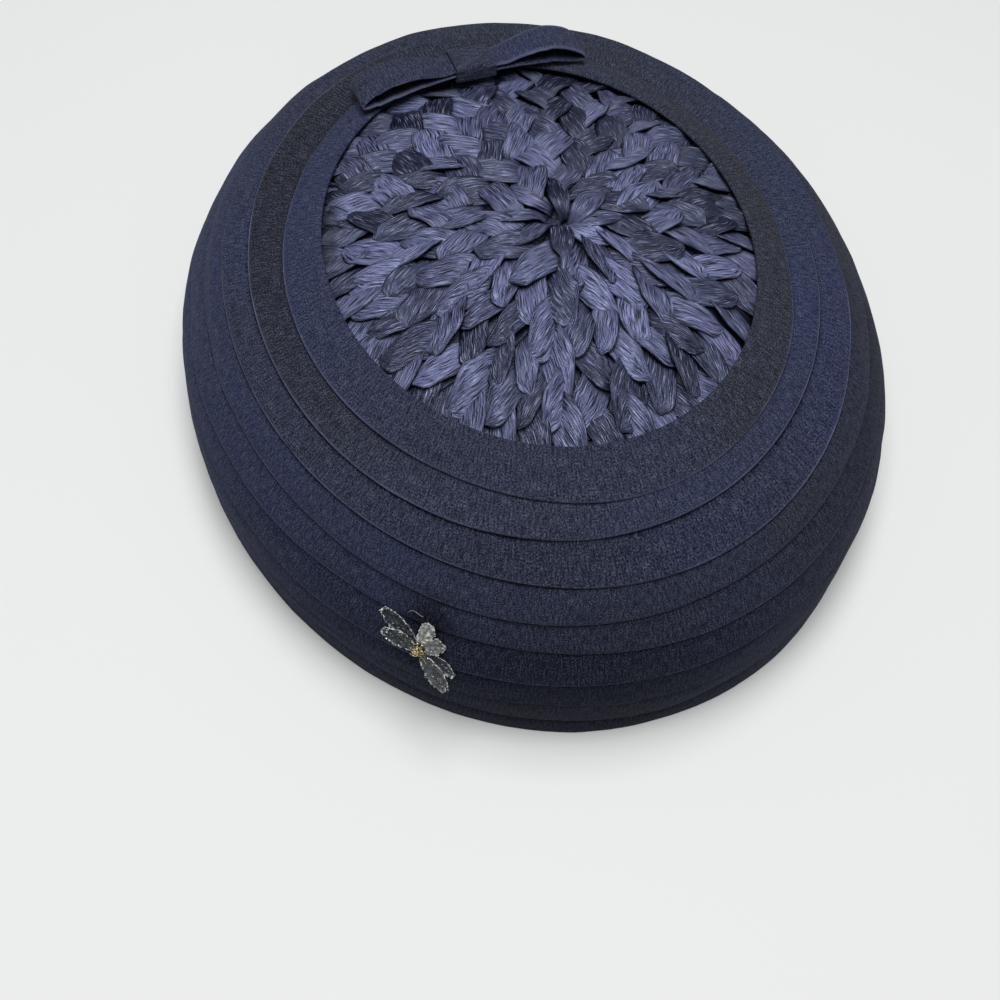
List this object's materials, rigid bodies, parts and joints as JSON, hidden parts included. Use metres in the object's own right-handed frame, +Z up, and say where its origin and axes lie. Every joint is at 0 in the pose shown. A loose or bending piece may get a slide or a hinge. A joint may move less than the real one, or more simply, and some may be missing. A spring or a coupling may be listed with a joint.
{
  "type": "pillbox hat",
  "caption": "Domed oval pillbox hat of lapped cloth folds round a plaited straw crown tip, with a flat bow and a small petal sprig.",
  "frame": {"origin": "middle of the rim, on the surface that the hat rests on", "axes": "+Z up through the crown, +Y along the hat's long axis towards the end with the bow"},
  "size_m": [0.1795, 0.2074, 0.0654],
  "materials": {
    "navy_cloth": "matte crepe, dark navy",
    "straw_ribbon": "satin plaited fibre ribbon, slate blue",
    "sheer_petal": "sheer with glittering edges",
    "gold_bead": "bright gold bead cluster"
  },
  "bodies": {
    "root": {"crown_tip": "straw_ribbon", "fold_1": "navy_cloth", "fold_2": "navy_cloth", "fold_3": "navy_cloth", "fold_4": "navy_cloth", "fold_5": "navy_cloth", "fold_6": "navy_cloth", "fold_7": "navy_cloth", "fold_8": "navy_cloth", "fold_9": "navy_cloth", "bow_loop_left": "navy_cloth", "bow_loop_right": "navy_cloth", "bow_knot": "navy_cloth", "sprig_centre": "gold_bead", "sprig_petal_1": "sheer_petal", "sprig_petal_2": "sheer_petal", "sprig_petal_3": "sheer_petal", "sprig_petal_4": "sheer_petal", "sprig_petal_5": "sheer_petal", "sprig_petal_6": "sheer_petal"}
  },
  "joints": []
}
